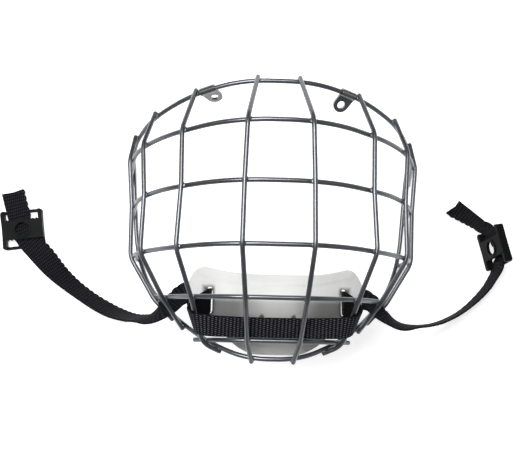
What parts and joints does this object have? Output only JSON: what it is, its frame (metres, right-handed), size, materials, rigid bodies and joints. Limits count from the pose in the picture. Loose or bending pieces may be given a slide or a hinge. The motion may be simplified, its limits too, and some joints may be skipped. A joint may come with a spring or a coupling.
{
  "type": "wire face guard with chin cup",
  "caption": "Welded steel-wire face guard for a sports helmet, with a moulded chin cup hung in black webbing and two snap buckles",
  "frame": {"origin": "on the surface that the guard lies on, below the middle of the wire cage", "axes": "+Z out through the front of the guard, +Y towards the forehead, +X across the face to the cage's longest side"},
  "size_m": [0.372, 0.1882, 0.1323],
  "materials": {
    "satin_steel": "satin",
    "clip_steel": "satin",
    "black_webbing": "matte",
    "black_nylon": "satin",
    "white_moulding": "satin"
  },
  "bodies": {
    "cage": {"brow_bar": "satin_steel", "chin_bar": "satin_steel", "eye_bar": "satin_steel", "left_centre_bar": "satin_steel", "left_cheek_bar": "satin_steel", "left_outer_bar": "satin_steel", "left_side_bar": "satin_steel", "mouth_bar": "satin_steel", "nose_bar": "satin_steel", "right_centre_bar": "satin_steel", "right_cheek_bar": "satin_steel", "right_outer_bar": "satin_steel", "right_side_bar": "satin_steel", "rim_wire": "satin_steel", "front_webbing": "black_webbing", "left_strap": "black_webbing", "right_strap": "black_webbing"},
    "left_clip": {"left_helmet_clip": "clip_steel"},
    "right_clip": {"right_helmet_clip": "clip_steel"},
    "cup": {"chin_cup": "white_moulding"},
    "left_snap": {"left_buckle": "black_nylon"},
    "right_snap": {"right_buckle": "black_nylon"}
  },
  "joints": [
    {"name": "left_clip_swivel", "type": "hinge", "parent": "cage", "child": "left_clip", "pos_m": [-0.04665, 0.08501, 0.08334], "axis": [-0.8934, -0.2486, -0.3742], "continuous": true},
    {"name": "right_clip_swivel", "type": "hinge", "parent": "cage", "child": "right_clip", "pos_m": [0.04665, 0.08501, 0.08334], "axis": [0.8934, -0.2486, -0.3742], "continuous": true},
    {"name": "chin_cup_tilt", "type": "hinge", "parent": "cage", "child": "cup", "pos_m": [0.003, -0.0535, 0.0665], "axis": [1, 0, 0], "range_deg": [-5, 5]},
    {"name": "left_buckle_slide", "type": "slide", "parent": "cage", "child": "left_snap", "axis": [-0.1302, 0.9915, 0], "range_m": [0, 0.004]},
    {"name": "right_buckle_slide", "type": "slide", "parent": "cage", "child": "right_snap", "axis": [-0.2143, 0.9578, -0.1913], "range_m": [0, 0.001]}
  ]
}
